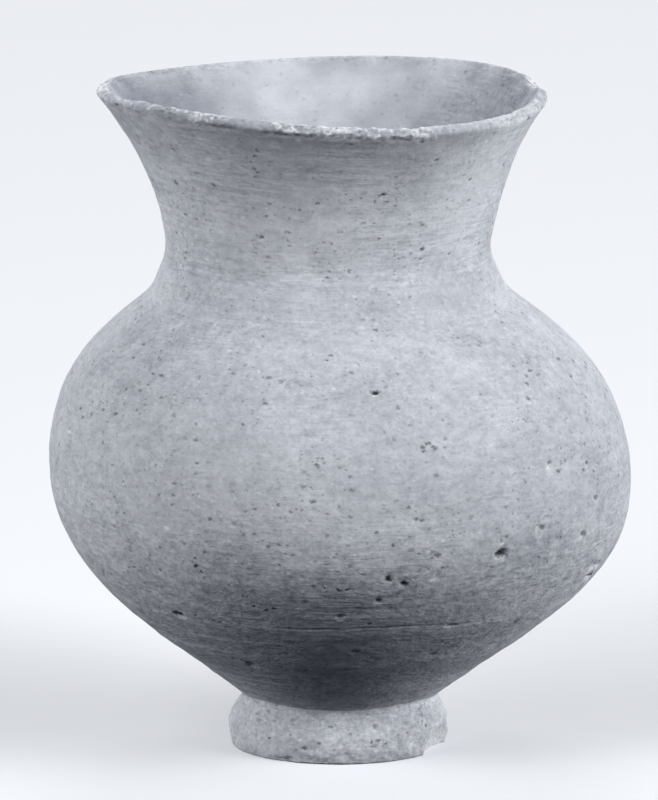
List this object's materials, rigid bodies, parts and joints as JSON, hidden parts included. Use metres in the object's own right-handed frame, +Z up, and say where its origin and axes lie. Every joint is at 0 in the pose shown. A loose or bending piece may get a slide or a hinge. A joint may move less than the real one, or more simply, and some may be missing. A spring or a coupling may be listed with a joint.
{
  "type": "jar",
  "caption": "Small wheel-thrown jar with a round body, a short waisted neck that flares to a wide mouth, and a low ring foot.",
  "frame": {"origin": "on the surface that the jar stands on, under the middle of the belly", "axes": "+Z up through the mouth; -Y is the front that the picture shows; +X is the picture's right"},
  "size_m": [0.12, 0.12, 0.1396],
  "materials": {
    "body_clay": "unglazed, matt, gritty",
    "neck_clay": "unglazed, matt, wiped smooth",
    "foot_clay": "unglazed, matt, coarse",
    "slip_clay": "unglazed, matt, smeared"
  },
  "bodies": {
    "root": {"body": "body_clay", "neck": "neck_clay", "neck_luting_slip": "slip_clay", "foot_ring": "foot_clay", "foot_luting_slip": "slip_clay"}
  },
  "joints": []
}
